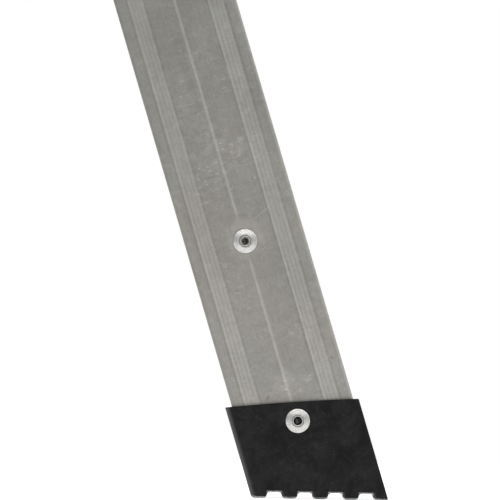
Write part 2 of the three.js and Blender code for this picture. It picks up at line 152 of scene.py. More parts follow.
def piece(name, points, faces, body, finish, *materials, leans=True):
    """A new piece from points and faces, which rides on a body unless that is None."""
    mesh = bpy.data.meshes.new(name)
    if leans:
        points = placed(points)
    mesh.from_pydata([tuple(p) for p in points], [], [tuple(f) for f in faces])
    mesh.validate()
    outwards(mesh)
    smooth(mesh, PIECE_SHARP)
    made = bpy.data.objects.new(name, mesh)
    bpy.context.scene.collection.objects.link(made)
    for material in materials:
        mesh.materials.append(material)
    if body:
        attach(made, body)
    return made


def loft(rings, closed=False):
    """Points and faces of a skin through equal closed rings. Its ends are filled unless closed."""
    count = len(rings[0])
    points = [p for ring in rings for p in ring]
    faces = []
    spans = len(rings) if closed else len(rings) - 1
    for k in range(spans):
        low = k * count
        high = (k + 1) % len(rings) * count
        for i in range(count):
            j = (i + 1) % count
            faces.append((low + i, low + j, high + j, high + i))
    if not closed:
        faces.append(tuple(range(count - 1, -1, -1)))
        faces.append(tuple(range((len(rings) - 1) * count, len(rings) * count)))
    return points, faces


def arc(centre, radius, start, end, steps):
    """Points on an arc, from one angle to another in degrees."""
    turns = np.radians(np.linspace(start, end, steps + 1))
    return [(centre[0] + radius * math.cos(t), centre[1] + radius * math.sin(t)) for t in turns]


def spread(low, high, step):
    """Even values from low to high, about a step apart."""
    return np.linspace(low, high, max(2, int(round((high - low) / step)) + 1))


# Materials. Every colour is linear.

class Recipe:
    """Builds the nodes of one material; each method returns the socket that holds its result."""

    def __init__(self, name, **constants):
        self.material = bpy.data.materials.new(name)
        self.material.use_nodes = True
        self.tree = self.material.node_tree
        self.shader = self.tree.nodes["Principled BSDF"]
        for word, value in constants.items():
            self.shader.inputs[word.replace("_", " ")].default_value = value

    def node(self, kind, inputs=(), output=0, **settings):
        made = self.tree.nodes.new(kind)
        for word, value in settings.items():
            setattr(made, word, value)
        for key, value in dict(inputs).items():
            if isinstance(value, bpy.types.NodeSocket):
                self.tree.links.new(value, made.inputs[key])
            else:
                made.inputs[key].default_value = value
        return made.outputs[output]

    def calc(self, operation, a, b=0.0, c=0.0, clamp=False):
        return self.node("ShaderNodeMath", {0: a, 1: b, 2: c}, operation=operation, use_clamp=clamp)

    def vector(self, operation, a, b=(0, 0, 0), output=0):
        return self.node("ShaderNodeVectorMath", {0: a, 1: b}, output, operation=operation)

    def total(self, *values):
        result = values[0]
        for value in values[1:]:
            result = self.calc("ADD", result, value)
        return result

    def scaled(self, coordinates, scale):
        return self.vector("MULTIPLY", coordinates, scale)

    def part(self, vector, axis):
        """One coordinate of a vector: 0 is x, 1 is y and 2 is z."""
        return self.node("ShaderNodeSeparateXYZ", {0: vector}, axis)

    def away(self, value, centre):
        """How far a value is from a centre, on either side."""
        return self.calc("ABSOLUTE", self.calc("SUBTRACT", value, centre))

    def noise(self, coordinates, scale=1.0, detail=3.0, rough=0.5, distortion=0.0):
        values = {"Vector": coordinates, "Scale": scale, "Detail": detail, "Roughness": rough}
        values["Distortion"] = distortion
        return self.node("ShaderNodeTexNoise", values)

    def graded(self, value, low, high, start=0.0, end=1.0):
        """Goes smoothly from start to end while the value goes from low to high."""
        values = {"Value": value, "From Min": low, "From Max": high, "To Min": start, "To Max": end}
        return self.node("ShaderNodeMapRange", values, interpolation_type="SMOOTHSTEP", clamp=True)

    def varied(self, noise, start, end):
        """Goes from start to end over the middle of a noise's range."""
        return self.graded(noise, 0.35, 0.65, start, end)

    def mixed(self, share, first, second, way="MIX"):
        values = {0: share, 6: first, 7: second}
        return self.node("ShaderNodeMix", values, 2, data_type="RGBA", blend_type=way)

    def grey(self, value):
        return self.node("ShaderNodeCombineColor", {0: value, 1: value, 2: value})

    def tinted(self, value, tint):
        return self.mixed(1.0, self.grey(value), tint, "MULTIPLY")

    def in_stile(self):
        """Stile coordinates in millimetres."""
        own = self.node("ShaderNodeTexCoord", output=3)
        shift = Matrix.Rotation(LEAN, 3, "X") @ FOOT / -MM
        values = {"Vector": own, "Location": shift, "Rotation": (LEAN, 0, 0), "Scale": (1 / MM,) * 3}
        return self.node("ShaderNodeMapping", values)

    def own(self):
        """The object's own coordinates in millimetres."""
        return self.scaled(self.node("ShaderNodeTexCoord", output=3), (1 / MM,) * 3)

    def facing(self, axis):
        """One coordinate of the surface's normal, in the object's own axes."""
        return self.part(self.node("ShaderNodeTexCoord", output=1), axis)

    def bump(self, height, distance):
        """Bump in which a height of 1 is a distance in millimetres."""
        return self.node("ShaderNodeBump", {"Height": height, "Distance": distance * MM})

    def finish(self, colour, rough, normal=None):
        self.tree.links.new(colour, self.shader.inputs["Base Color"])
        self.tree.links.new(rough, self.shader.inputs["Roughness"])
        if normal is not None:
            self.tree.links.new(normal, self.shader.inputs["Normal"])
        return self.material


# Marks on the outer face of the left base stile: where each starts and ends, across (y) and up
# (z), then its half width and how bright it is.
MARKS = [
    ((-8.5, 157.9), (-18.4, 162.4), 0.35, 0.5),
    ((-14.8, 179.3), (-14.8, 179.7), 0.6, 1.0),
    ((-8.0, 193.2), (-9.6, 193.6), 0.35, 0.8),
    ((7.5, 241.4), (10.5, 241.8), 0.3, 0.6),
    ((5.5, 228.1), (14.5, 228.6), 0.3, 0.6),
    ((5.0, 221.7), (5.4, 221.8), 0.5, 0.9),
    ((-12.6, 236.3), (-14.2, 236.7), 0.4, 0.7),
    ((-11.6, 231.4), (-12.8, 231.8), 0.4, 0.7),
    ((10.5, 121.0), (13.5, 121.5), 0.35, 0.6),
    ((-8.0, 140.6), (-9.6, 141.0), 0.35, 0.6),
    ((11.8, 61.5), (13.2, 60.4), 1.1, -0.5),
    ((-27.2, 73.6), (-28.2, 72.0), 0.6, -0.7),
]

# Scuffed areas of the same face: the middle of each, its half lengths across and up, and how
# bright it is.
SCUFFS = [
    ((8.0, 200.0), 17.0, 42.0, 0.038),
    ((-8.0, 200.0), 10.0, 20.0, 0.03),
    ((-3.0, 66.0), 14.0, 8.0, 0.05),
    ((-12.0, 96.0), 9.0, 30.0, 0.012),
]


def marks_on(recipe, place):
    """How much brighter or darker each point is for the marks near it."""
    result = 0.0
    for start, end, half, strength in MARKS:
        begin = Vector((-OUTER, *start))
        along = Vector((-OUTER, *end)) - begin
        from_start = recipe.vector("SUBTRACT", place, begin)
        share = recipe.vector("DOT_PRODUCT", from_start, along / along.length_squared, 1)
        share = recipe.calc("ADD", share, 0.0, clamp=True)
        nearest = recipe.node("ShaderNodeVectorMath", {0: along, 3: share}, operation="SCALE")
        away = recipe.vector("DISTANCE", from_start, nearest, 1)
        mark = recipe.graded(away, half, half * 0.3, 0.0, strength)
        result = recipe.calc("ADD", mark, result)
    return result


def scuffs_on(recipe, place, cloud):
    """How much brighter each point is for the scuffed areas, broken up by a cloud from 0 to 1."""
    result = 0.0
    for (y, z), half_y, half_z, strength in SCUFFS:
        offset = recipe.vector("SUBTRACT", place, (-OUTER, y, z))
        away = recipe.vector("LENGTH", recipe.scaled(offset, (0, 1 / half_y, 1 / half_z)), output=1)
        result = recipe.calc("ADD", recipe.graded(away, 1.0, 0.3, 0.0, strength), result)
    return recipe.calc("MULTIPLY", result, cloud)


def fine_scratches(recipe, place, turn, pitch):
    """From 0 to 1: thin broken scratches, turned from straight across the stile by some degrees."""
    values = {"Vector": place, "Rotation": (math.radians(turn), 0, 0), "Scale": (0.05, 0.05, 1)}
    stretched = recipe.node("ShaderNodeMapping", values)
    lines = recipe.graded(recipe.away(recipe.noise(stretched, 1 / pitch, 2, 0.5), 0.5), 0.04, 0.008)
    broken = recipe.graded(recipe.noise(place, 0.28, 3, 0.6), 0.52, 0.62)
    return recipe.calc("MULTIPLY", lines, broken)


def crossed_scratches(recipe, place):
    """Fine scratches in two directions, more of them in some patches."""
    one = fine_scratches(recipe, place, 10, 2.4)
    other = fine_scratches(recipe, place, -14, 3.1)
    patches = recipe.graded(recipe.noise(place, 0.03, 3, 0.6), 0.4, 0.6, 0.2, 1.0)
    return recipe.calc("MULTIPLY", recipe.calc("MAXIMUM", one, other), patches)


# How much lighter an outer face is painted in places, or how much darker: painted highlights and shade
# along its ribs, ridge and corners, with lighter margins and halos.
# Painted highlights of the bands of ribs and their crests, and painted shade between the ribs.
BAND_LIGHTER = 0.056
CREST_LIGHTER = 0.016  # than its band, which is as much darker between the ribs
# A painted highlight line on each band's rear side, and painted shade at its edges.
REAR_LINE_LIGHTER = 0.028
BAND_EDGE_DARKER = 0.024
MARGIN_LIGHTER = 0.012
# A painted highlight on the front corner, and painted shade on the rear corner.
FRONT_LIGHTER = 0.07
REAR_DARKER = 0.04
HALO_LIGHTER = 0.05
# A painted highlight along the ridge.
RIDGE_LIGHTER = 0.085
LINE_FADE = (0.8, 0.2)  # a line fades in between these distances from its middle


def band_lines(recipe, across, half):
    """Bands of ribs lighter, with lighter crests: painted highlights, with painted shade between the ribs.
    Also a painted highlight line, painted shade at the edges, and lighter margins.
    """
    off = recipe.calc("SUBTRACT", recipe.calc("ABSOLUTE", across), half - BAND_INSET)
    from_band = recipe.calc("ABSOLUTE", off)
    ripple = recipe.calc("COSINE", recipe.calc("MULTIPLY", off, 2 * math.pi / RIB_PITCH))
    ribs = recipe.calc("MULTIPLY_ADD", ripple, -CREST_LIGHTER, BAND_LIGHTER)
    band = recipe.calc("MULTIPLY", recipe.graded(from_band, BAND_HALF - 0.1, BAND_HALF - 0.5), ribs)
    to_rear = recipe.calc("MULTIPLY", off, recipe.calc("SIGN", across))
    line = recipe.graded(recipe.away(to_rear, BAND_HALF - 0.8), *LINE_FADE, 0, REAR_LINE_LIGHTER)
    edge = recipe.graded(recipe.away(from_band, BAND_HALF + 0.4), *LINE_FADE, 0, -BAND_EDGE_DARKER)
    margin = recipe.graded(off, BAND_HALF + 0.8, BAND_HALF + 1.6, 0, MARGIN_LIGHTER)
    return recipe.total(band, line, edge, margin)


def rivet_lines(recipe, across, height):
    """A lighter halo round each rivet, and a painted highlight along the ridge, which stops short of the
    rivets.
    """
    lowest = FIRST_RUNG - RUNG_PITCH / 2
    highest = FIRST_RUNG + RUNG_PITCH / 2
    from_rung = recipe.calc("SUBTRACT", recipe.calc("WRAP", height, lowest, highest), FIRST_RUNG)
    offset = recipe.node("ShaderNodeCombineXYZ", {0: across, 1: from_rung})
    halo = recipe.graded(recipe.vector("LENGTH", offset, output=1), 13, 8, 0, HALO_LIGHTER)
    ridge = recipe.graded(recipe.away(across, RIDGE_OFF), 1.2, 0.4, 0, RIDGE_LIGHTER)
    shown = recipe.graded(recipe.calc("ABSOLUTE", from_rung), 9, 16)
    return recipe.total(halo, recipe.calc("MULTIPLY", ridge, shown))


def painted_face_light(recipe, place, y0, half):
    """How much lighter or darker an outer face is painted along its ribs, ridge and edges: painted
    highlights and shade, with lighter margins and halos.
    """
    across = recipe.calc("SUBTRACT", recipe.part(place, 1), y0)
    front = recipe.graded(across, 1.8 - half, 0.8 - half, 0, FRONT_LIGHTER)
    rear = recipe.graded(across, half - 1.9, half - 1.2, 0, -REAR_DARKER)
    bands = band_lines(recipe, across, half)
    return recipe.total(bands, front, rear, rivet_lines(recipe, across, recipe.part(place, 2)))


def aluminium_tint(recipe, place):
    """Warmer in clouds and towards the floor."""
    clouds = recipe.noise(place, 0.02, 3, 0.5, 1.0)
    soiled = recipe.graded(recipe.part(place, 2), 260, 60, -0.3, 0.4)
    soiled = recipe.calc("ADD", soiled, recipe.varied(clouds, 0, 1), clamp=True)
    return recipe.mixed(soiled, (1.012, 1, 0.935, 1), (1.042, 1, 0.92, 1))


ALUMINIUM_VALUE = 0.312
SCRATCH_LIGHTER = 0.045
MARK_LIGHTER = 0.14
SCUFF_SCRATCHES = 4.5  # how much lighter scratches are in a scuff, as a multiple of the scuff


def mill_aluminium(name, y0=0.0, half=None, marked=False):
    """Drawn aluminium. With a half depth it has painted highlights and shade along a stile's ribs, ridge
    and edges, and if marked its wear.
    """
    recipe = Recipe(name, Metallic=1.0)
    place = recipe.in_stile()
    streaks = recipe.noise(recipe.scaled(place, (1, 1, 0.02)), 0.9, 5, 0.6)
    fine = recipe.noise(recipe.scaled(place, (1, 1, 0.06)), 3.0, 2, 0.5)
    grain = recipe.noise(recipe.scaled(place, (1, 1, 0.8)), 0.7, 4, 0.75)
    smears = recipe.noise(recipe.scaled(place, (1, 0.7, 1)), 0.2, 6, 0.7, 0.6)
    blotches = recipe.noise(recipe.scaled(place, (1, 1, 0.6)), 0.035, 5, 0.62, 0.6)
    scratches = crossed_scratches(recipe, place)

    value = recipe.calc("MULTIPLY_ADD", scratches, SCRATCH_LIGHTER, ALUMINIUM_VALUE)
    shares = ((streaks, 0.009), (fine, 0.008), (grain, 0.015), (smears, 0.016), (blotches, 0.006))
    for noise, share in shares:
        value = recipe.calc("ADD", value, recipe.varied(noise, -share, share))
    height = recipe.calc("MULTIPLY_ADD", fine, 0.4, streaks)
    height = recipe.calc("MULTIPLY_ADD", scratches, -1.5, height)
    # Painted highlights and shade of the stile's outer face.
    if half:
        value = recipe.calc("ADD", value, painted_face_light(recipe, place, y0, half))
    if marked:
        marks = marks_on(recipe, place)
        value = recipe.calc("MULTIPLY_ADD", marks, MARK_LIGHTER, value)
        height = recipe.calc("ADD", height, marks)
        scuffs = scuffs_on(recipe, place, recipe.varied(smears, 0.2, 1))
        scratched = recipe.calc("MULTIPLY_ADD", scratches, SCUFF_SCRATCHES, 1.0)
        value = recipe.calc("MULTIPLY_ADD", scuffs, scratched, value)

    rough = recipe.varied(blotches, 0.44, 0.48)
    rough = recipe.calc("ADD", rough, recipe.graded(streaks, 0.3, 0.7, -0.01, 0.01))
    colour = recipe.tinted(value, aluminium_tint(recipe, place))
    return recipe.finish(colour, rough, recipe.bump(height, 0.012))


def rivet_aluminium(name):
    """Bright turned aluminium, with rings round the x axis."""
    recipe = Recipe(name, Metallic=1.0)
    place = recipe.own()
    radius = recipe.vector("LENGTH", recipe.scaled(place, (0, 1, 1)), output=1)
    rings = recipe.noise(recipe.node("ShaderNodeCombineXYZ", {0: radius}), 5.0, 3, 0.6)
    spots = recipe.noise(place, 1.2, 4, 0.6)
    value = recipe.graded(rings, 0.4, 0.6, -0.1, 0.06)
    value = recipe.total(value, recipe.varied(spots, -0.08, 0.05), 0.55)
    rough = recipe.graded(rings, 0.3, 0.7, 0.3, 0.42)
    return recipe.finish(recipe.tinted(value, (1.01, 1, 0.965, 1)), rough, recipe.bump(rings, 0.06))


def tread_dust_and_floor_sheen(recipe, place):
    """How much lighter the rubber is where the tread's underside faces the floor: partly scuffs and dust,
    partly a painted reflection of the floor.
    """
    # Faces that look down at the floor get a painted reflection of it.
    down = recipe.graded(recipe.facing(2), -0.31, -0.5)
    low = recipe.graded(recipe.part(recipe.own(), 2), 8.0, 5.0)
    patchy = recipe.graded(recipe.noise(place, 0.35, 4, 0.6), 0.3, 0.6, 0.09, 0.24)
    return recipe.calc("MULTIPLY", recipe.calc("MULTIPLY", down, low), patchy)


def painted_wall_side_highlight(recipe):
    """A painted highlight: the rubber is lighter where it faces the wall, and on the edges beside that."""
    return recipe.graded(recipe.facing(1), 0.0, 0.8, 0, 0.06)


def boot_rubber(name):
    recipe = Recipe(name, Metallic=0.0, Specular_IOR_Level=0.15)
    place = recipe.in_stile()
    clouds = recipe.noise(place, 0.09, 6, 0.7, 0.5)
    grain = recipe.noise(place, 2.4, 3, 0.6)
    dust = recipe.graded(recipe.noise(place, 0.4, 6, 0.75), 0.48, 0.72)
    value = recipe.varied(clouds, 0.001, 0.0095)
    value = recipe.calc("ADD", value, recipe.graded(dust, 0, 1, 0, 0.009))
    value = recipe.calc("ADD", value, recipe.graded(grain, 0.3, 0.7, 0, 0.003))
    # Dust and a painted reflection of the floor under the tread, and a painted highlight on the side facing
    # the wall.
    value = recipe.total(value, tread_dust_and_floor_sheen(recipe, place), painted_wall_side_highlight(recipe))
    rough = recipe.graded(clouds, 0.3, 0.7, 0.5, 0.66)
    height = recipe.calc("MULTIPLY_ADD", grain, 0.5, clouds)
    return recipe.finish(recipe.grey(value), rough, recipe.bump(height, 0.05))


def black_plastic(name):
    recipe = Recipe(name, Metallic=0.0)
    place = recipe.in_stile()
    grain = recipe.node("ShaderNodeTexVoronoi", {"Vector": place, "Scale": 1.6})
    scuffs = recipe.graded(recipe.noise(place, 0.25, 6, 0.7), 0.55, 0.75)
    value = recipe.graded(scuffs, 0, 1, 0.018, 0.045)
    rough = recipe.graded(scuffs, 0, 1, 0.42, 0.6)
    return recipe.finish(recipe.grey(value), rough, recipe.bump(grain, 0.04))


def zinc_steel(name):
    """Galvanised steel with its spangle."""
    recipe = Recipe(name, Metallic=1.0)
    place = recipe.in_stile()
    spangle = recipe.node("ShaderNodeTexVoronoi", {"Vector": place, "Scale": 0.16}, output=1)
    spangle = recipe.node("ShaderNodeSeparateColor", {0: spangle})
    clouds = recipe.noise(place, 0.08, 5, 0.6, 0.4)
    value = recipe.graded(spangle, 0, 1, -0.03, 0.03)
    value = recipe.calc("ADD", value, recipe.graded(clouds, 0.3, 0.7, 0.44, 0.56))
    rough = recipe.graded(spangle, 0, 1, 0.32, 0.42)
    return recipe.finish(recipe.tinted(value, (0.97, 0.99, 1.03, 1)), rough, recipe.bump(clouds, 0.05))


def spring_steel(name):
    recipe = Recipe(name, Metallic=1.0)
    place = recipe.in_stile()
    drawn = recipe.noise(place, 0.8, 4, 0.6)
    value = recipe.graded(drawn, 0.3, 0.7, 0.13, 0.22)
    return recipe.finish(recipe.grey(value), recipe.graded(drawn, 0.3, 0.7, 0.28, 0.45))


def mandrel_steel_and_bore_shade(name):
    """The broken end of a rivet's mandrel, deep in its bore, and the bore's floor: far darker than bare
    steel, partly painted shade of the bore.
    """
    recipe = Recipe(name, Metallic=0.8)
    place = recipe.own()
    values = {"Vector": place, "Rotation": (math.radians(35), 0, 0), "Scale": (1, 0.5, 2.2)}
    torn = recipe.noise(recipe.node("ShaderNodeMapping", values), 1.1, 3, 0.6)
    # Near black: partly painted shade deep in the bore.
    value = recipe.graded(torn, 0.45, 0.65, 0.006, 0.11)
    rough = recipe.graded(torn, 0.3, 0.7, 0.4, 0.6)
    return recipe.finish(recipe.grey(value), rough, recipe.bump(torn, 0.15))


ALUMINIUM = mill_aluminium("mill_aluminium")
# The stiles' own materials, which carry painted highlights and shade along their ribs, ridge and edges.
BASE_ALUMINIUM = mill_aluminium("mill_aluminium_base", 0.0, BASE_HALF)
FLY_ALUMINIUM = mill_aluminium("mill_aluminium_fly", FLY_Y, FLY_HALF)
MARKED = mill_aluminium("mill_aluminium_worn", 0.0, BASE_HALF, marked=True)
RIVET = rivet_aluminium("rivet_aluminium")
MANDREL = mandrel_steel_and_bore_shade("mandrel_steel")
RUBBER = boot_rubber("boot_rubber")
PLASTIC = black_plastic("black_plastic")
ZINC = zinc_steel("zinc_steel")
SPRING = spring_steel("spring_steel")


# Stiles: box sections with ribbed outer faces, dished round each rivet.

CORNER = 0.8
RIB_RELIEF = 0.08
EDGE_GROOVE = 0.04
RIDGE_RELIEF = 0.1
RIDGE_HALF = 0.45
RIDGE_FADE = 11.0  # from a rivet
DISH = 0.2
DISH_RADIUS = 8.5
CORNER_STEPS = 5
BAND_MARGIN = 1.0  # beyond a band of ribs, with samples as close as on the band
RIDGE_REACH = 2.0
RIDGE_STEP = 0.2
PLAIN_STEP = 1.3
EDGE_STEP = 1.0
RING_STEP = 40
DISH_REACH = 20
DISH_STEP = 1.25
LEAST_STEP = 0.4


def relief(y, z, half, rivets):
    """How far the outer face stands out, over arrays of y and z."""
    off = np.abs(np.abs(y) - (half - BAND_INSET))
    ribs = RIB_RELIEF * 0.5 * (1 - np.cos(2 * np.pi * off / RIB_PITCH))
    bands = np.where(off < 2 * RIB_PITCH, ribs, 0.0)
    grooves = EDGE_GROOVE * np.exp(-(((off - BAND_HALF - 0.3) / 0.28) ** 2))
    ridge = RIDGE_RELIEF * np.exp(-(((y - RIDGE_OFF) / RIDGE_HALF) ** 2))
    dish = np.zeros_like(y)
    for centre in rivets:
        away = np.hypot(y, z - centre)
        ridge = ridge * (1 - np.exp(-((away / RIDGE_FADE) ** 4)))
        dish = dish + DISH * np.exp(-((away / DISH_RADIUS) ** 2))
    return bands + ridge - grooves - dish


def face_samples(half):
    """Values of y across an outer face, close together where it has relief."""
    near = half - BAND_INSET - BAND_HALF - BAND_MARGIN
    far = half - BAND_INSET + BAND_HALF + BAND_MARGIN
    right = np.concatenate([
        spread(0, RIDGE_REACH, RIDGE_STEP)[:-1],
        spread(RIDGE_REACH, near, PLAIN_STEP)[:-1],
        spread(near, far, RIB_PITCH / 8)[:-1],
        spread(far, half - CORNER, EDGE_STEP),
    ])
    return np.concatenate([-right[:0:-1], right])


def stations(low, high, rivets):
    """Heights of a stile's rings, close together round its rivets."""
    heights = list(spread(low, high, RING_STEP))
    for centre in rivets:
        heights.extend(centre + spread(-DISH_REACH, DISH_REACH, DISH_STEP))
    heights = np.unique(np.round([h for h in heights if low <= h <= high], 3))
    return heights[np.insert(np.diff(heights) > LEAST_STEP, 0, True)]


def stile_back(half):
    """The rest of a stile's section, round its rear, inner and front sides."""
    width = OUTER - INNER
    return (
        arc((width - CORNER, half - CORNER), CORNER, 0, 90, CORNER_STEPS)[1:]
        + arc((CORNER, half - CORNER), CORNER, 90, 180, CORNER_STEPS)
        + arc((CORNER, CORNER - half), CORNER, 180, 270, CORNER_STEPS)
        + arc((width - CORNER, CORNER - half), CORNER, 270, 360, CORNER_STEPS)[:-1]
    )


def stile_skin(side, y0, half, low, high, rivets):
    face = face_samples(half)
    rings = []
    for z in stations(low, high, rivets):
        out = OUTER - INNER + relief(face, np.full_like(face, z), half, rivets)
        section = list(zip(out, face)) + stile_back(half)
        rings.append([(side * (INNER + x), y0 + y, z) for x, y in section])
    return loft(rings)


def make_stiles():
    for word, side in SIDES.items():
        for kind, (body, y0, half, low, high) in STILES.items():
            rivets = [middle(node)[2] for node in RUNGS[body]]
            name = f"{kind}_{word}"
            material = BASE_ALUMINIUM if kind == "base_stile" else FLY_ALUMINIUM
            if name == "base_stile_left":
                material = MARKED
            made = piece(f"{name}_extrusion", *stile_skin(side, y0, half, low, high, rivets),
                         body, "mill_aluminium", material)
            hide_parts(name)


# Rungs: D sections with a grooved tread, level at the working angle, and swaged collars.

RUNG_HALF = 15.0
RUNG_TOP = 13.0
RUNG_FLANK = 2.0
TREAD_ROUND = 2.0
GROOVE_PITCH = 5.4
GROOVES = 4
GROOVE_HALF = 1.4
GROOVE_DEPTH = 1.0
TREAD_STEP = 0.25
TREAD_ROUND_STEPS = 6
BELLY_STEPS = 48


def tread_height(a):
    centres = (np.arange(GROOVES) - (GROOVES - 1) / 2) * GROOVE_PITCH
    off = np.min(np.abs(a[:, None] - centres), axis=1)
    dip = GROOVE_DEPTH * 0.5 * (1 + np.cos(np.pi * np.minimum(off / GROOVE_HALF, 1)))
    return RUNG_TOP - dip


def rung_section(grow=0.0, grooved=True):
    """A rung's outline in level coordinates round its middle, in millimetres."""
    half = RUNG_HALF + grow
    top = RUNG_TOP + grow
    corner = TREAD_ROUND + grow
    a = spread(corner - half, half - corner, TREAD_STEP)[-2:0:-1]
    b = tread_height(a) if grooved else np.full_like(a, top)
    section = arc((half - corner, top - corner), corner, 0, 90, TREAD_ROUND_STEPS)
    section += list(zip(a, b))
    section += arc((corner - half, top - corner), corner, 90, 180, TREAD_ROUND_STEPS)
    section += arc((0, RUNG_FLANK), half, 180, 360, BELLY_STEPS)
    return section


def rung_ring(x, centre, section):
    """A ring round a rung's section, at a place along it, in the frame."""
    return [(x, centre.y + a * MM, centre.z + b * MM) for a, b in section]


def make_rungs():
    for body, nodes in RUNGS.items():
        for node in nodes:
            low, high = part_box(node)
            centre = node_centre(node)
            rings = [rung_ring(x, centre, rung_section()) for x in (low.x, high.x)]
            made = piece(f"{node}_extrusion", *loft(rings), body, "mill_aluminium", ALUMINIUM, leans=False)
            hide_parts(node)
            for word, side in SIDES.items():
                make_collar(f"{node}_collar_{word}", side, centre, body)


# A collar's profile: how far it stands off the rung, and inboard of the stile.
COLLAR = [
    (-0.3, -0.4), (2.9, -0.4), (3.0, 0.5), (2.6, 1.3), (1.9, 1.9), (1.0, 2.3), (0.2, 3.4), (-0.3, 3.6),
]


def make_collar(name, side, centre, body):
    rings = []
    for grow, inboard in COLLAR:
        section = rung_section(grow, grooved=False)
        rings.append(rung_ring(side * (INNER - inboard) * MM, centre, section))
    piece(name, *loft(rings, closed=True), body, "mill_aluminium", ALUMINIUM, leans=False)


# Rivets and pins. A profile is a list of (radius, height over the seat).

HEAD = 6.7
HEAD_RISE = 1.7
CONE_RIM = (6.0, 0.55)
CONE_TOP = (3.9, 1.33)
RING_PITCH = 0.7
RING_RELIEF = 0.006


def cone():
    """A blind rivet's conical flange, with the fine rings that turning leaves."""
    points = []
    for radius in spread(CONE_RIM[0], CONE_TOP[0], 0.175):
        share = (CONE_RIM[0] - radius) / (CONE_RIM[0] - CONE_TOP[0])
        ring = RING_RELIEF * math.sin(2 * math.pi * radius / RING_PITCH)
        points.append((radius, CONE_RIM[1] + share * (CONE_TOP[1] - CONE_RIM[1]) + ring))
    return points


HEAD_PROFILE = [
    (3.1, -0.55), (HEAD - 0.25, -0.55), (HEAD, -0.3), (HEAD, 0.1), (HEAD - 0.1, 0.3), (HEAD - 0.3, 0.42),
    *cone(), (3.6, 1.38), (3.4, 1.34), (3.3, 1.1), (3.15, 0.98), (3.02, 1.08), (2.95, 1.45), (2.85, 1.66),
    (2.7, HEAD_RISE), (2.5, HEAD_RISE), (2.4, 1.62),
]
BORE_PROFILE = [(2.34, 1.4), (2.3, -1.6), (1.7, -1.7), (1.65, 0.1), (1.4, 0.35), (0.6, 0.5)]
FLAT_PROFILE = [(2.4, -4.0), (2.4, -0.5), (4.0, -0.05), (4.1, 0.15), (3.9, 0.35), (3.2, 0.45), (1.2, 0.5)]
PIN_RISE = 2.4
PIN_PROFILE = [
    (4.0, -18.9), (4.0, 0.0), (6.8, 0.0), (7.0, 0.2), (7.0, 1.0), (6.8, 1.3), (6.2, 1.75), (5.2, 2.1),
    (4.0, 2.32), (2.0, PIN_RISE), (0.8, PIN_RISE),
]
TURNED_SIDES = 72


def turned_piece(name, profile, seat, way, body, finish, *materials, inner_from=None):
    """A turned piece whose origin is at its seat, and whose axis points one way. Rings of its
    profile from inner_from on take the second material."""
    rings = []
    for radius, height in profile:
        turns = np.linspace(0, 2 * np.pi, TURNED_SIDES, endpoint=False)
        rings.append([(height, radius * math.cos(t), radius * math.sin(t)) for t in turns])
    points, faces = loft(rings)
    made = piece(name, np.array(points) * MM, faces, None, finish, *materials, leans=False)
    made.location = seat
    made.rotation_mode = "QUATERNION"
    made.rotation_quaternion = Vector(way).to_track_quat("X", "Z")
    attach(made, body)
    if inner_from is not None:
        last = len(made.data.polygons) - 1
        for index, face in enumerate(made.data.polygons):
            if index // TURNED_SIDES >= inner_from or index == last:
                face.material_index = 1
    return made


def blind_rivet(name, seat, side, body, shank=14.0, node=None):
    profile = [(3.1, -shank)] + HEAD_PROFILE + BORE_PROFILE
    made = turned_piece(name, profile, seat, (side, 0, 0), body, "rivet_aluminium", RIVET, MANDREL,
                        inner_from=len(HEAD_PROFILE) + 2)
    if node:
        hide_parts(node)


def seat_of(node, way, rise):
    """The point on a CAD rivet's or pin's axis where its head, which rises above it, bears."""
    low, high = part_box(node)
    seat = node_centre(node)
    seat.x = (high.x if way > 0 else low.x) - way * rise * MM
    return seat


def stile_point(x, y, z):
    return Vector(placed([(x, y, z)])[0])


def rung_and_foot_rivets(word, side):
    for number in range(1, len(RUNGS["base_section"]) + 1):
        node = f"rung_rivet_{word}_{number}"
        blind_rivet(f"{node}_turned", seat_of(node, side, HEAD_RISE), side, "base_section", node=node)
    for number, rung in enumerate(RUNGS["fly_section"], 1):
        seat = stile_point(side * (OUTER + RIB), FLY_Y, middle(rung)[2])
        blind_rivet(f"fly_rung_rivet_{word}_{number}", seat, side, "fly_section")
    for place, way in (("outer", side), ("inner", -side)):
        node = f"foot_rivet_{place}_{word}"
        seat = seat_of(node, way, HEAD_RISE)
        blind_rivet(f"{node}_turned", seat, way, "base_section", shank=9.0, node=node)


GUIDE_RIVET_INSET = 13.0  # from a guide's end
GUIDE_SEAT = 203.6  # from the middle of the ladder
CHANNEL_RIVET_INSET = 5.5  # from a channel's end
CHANNEL_RIVET_Y = -50.0
CHANNEL_SEAT = 171.7  # from the middle of the ladder


def ends_of(node, inset):
    """The heights of a node's lower and upper rivet, inset from its ends."""
    low, high = extent(node)
    return (("lower", low[2] + inset), ("upper", high[2] - inset))


def fixing_rivets(word, side):
    """The rivets that hold the guides, the stays' channels and the travel stops."""
    for guide, body, y in (("base_guide", "base_section", 0.0), ("fly_guide", "fly_section", FLY_Y)):
        for end, z in ends_of(f"{guide}_{word}", GUIDE_RIVET_INSET):
            seat = stile_point(side * GUIDE_SEAT, y, z)
            blind_rivet(f"{guide}_rivet_{word}_{end}", seat, side, body)
    for end, z in ends_of(f"stay_channel_{word}", CHANNEL_RIVET_INSET):
        seat = stile_point(side * CHANNEL_SEAT, CHANNEL_RIVET_Y, z)
        turned_piece(f"channel_rivet_{word}_{end}", FLAT_PROFILE, seat, (-side, 0, 0), "fly_section",
                     "zinc_steel", ZINC)
    low, high = extent(f"travel_stop_{word}")
    seat = stile_point((low[0] + high[0]) / 2, high[1], (low[2] + high[2]) / 2)
    turned_piece(f"stop_rivet_{word}", FLAT_PROFILE, seat, ACROSS, "base_section", "rivet_aluminium", RIVET)


